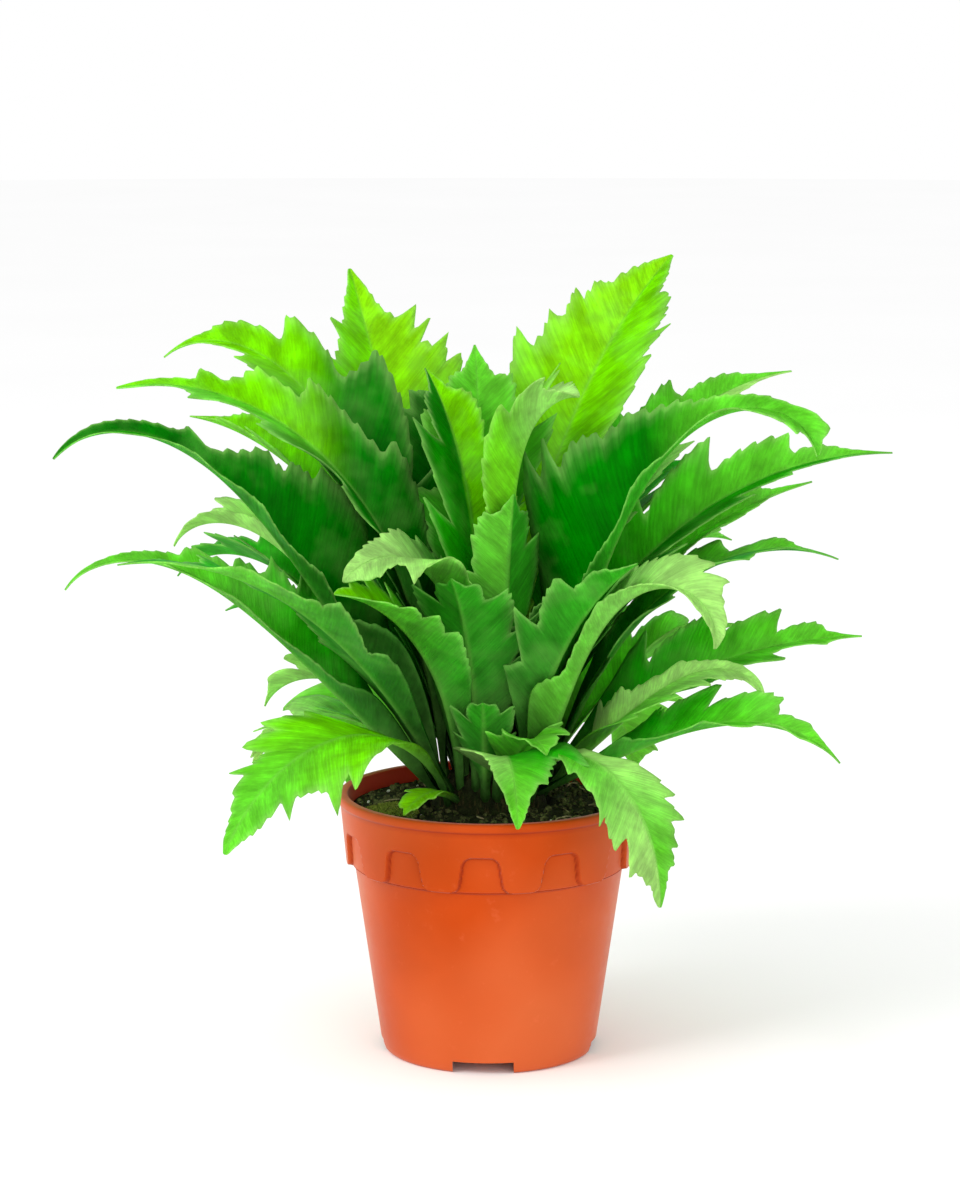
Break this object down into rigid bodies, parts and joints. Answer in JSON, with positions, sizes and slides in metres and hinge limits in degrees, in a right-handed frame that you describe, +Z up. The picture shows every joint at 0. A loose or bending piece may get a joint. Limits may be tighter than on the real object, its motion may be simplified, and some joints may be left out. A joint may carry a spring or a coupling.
{
  "type": "potted bird's nest fern",
  "caption": "Leafy fern with broad arching toothed fronds in a rosette, rooted in peat in a round tapered plastic nursery pot with an arched collar.",
  "frame": {"origin": "on the ground at the centre of the pot's foot ring, which is also the middle of the plant's spread", "axes": "+Z up along the pot's axis, +X to the right as the plant is seen from its front, +Y away from the front"},
  "size_m": [0.3249, 0.2197, 0.3087],
  "materials": {
    "terracotta_plastic": "satin",
    "peat": "matte",
    "crown_scale": "matte",
    "moss": "matte",
    "leaf": "satin"
  },
  "bodies": {
    "root": {"pot": "terracotta_plastic", "soil": "peat", "crown": "crown_scale", "moss_patch": "moss", "frond_01": "leaf", "frond_02": "leaf", "frond_03": "leaf", "frond_04": "leaf", "frond_05": "leaf", "frond_06": "leaf", "frond_07": "leaf", "frond_08": "leaf", "frond_09": "leaf", "frond_10": "leaf", "frond_11": "leaf", "frond_12": "leaf", "frond_13": "leaf", "frond_14": "leaf", "frond_15": "leaf", "frond_16": "leaf", "frond_17": "leaf", "frond_18": "leaf", "frond_19": "leaf", "frond_20": "leaf", "frond_21": "leaf", "frond_22": "leaf", "frond_23": "leaf", "frond_24": "leaf", "frond_25": "leaf", "frond_26": "leaf", "frond_27": "leaf", "frond_28": "leaf", "frond_29": "leaf", "frond_30": "leaf", "frond_31": "leaf", "frond_32": "leaf", "frond_33": "leaf", "frond_34": "leaf", "frond_35": "leaf", "frond_36": "leaf", "frond_37": "leaf", "frond_38": "leaf", "frond_39": "leaf", "frond_40": "leaf", "frond_41": "leaf", "frond_42": "leaf", "frond_43": "leaf", "frond_44": "leaf", "frond_45": "leaf", "frond_46": "leaf", "frond_47": "leaf", "frond_48": "leaf", "frond_49": "leaf", "frond_50": "leaf", "frond_51": "leaf"}
  },
  "joints": []
}
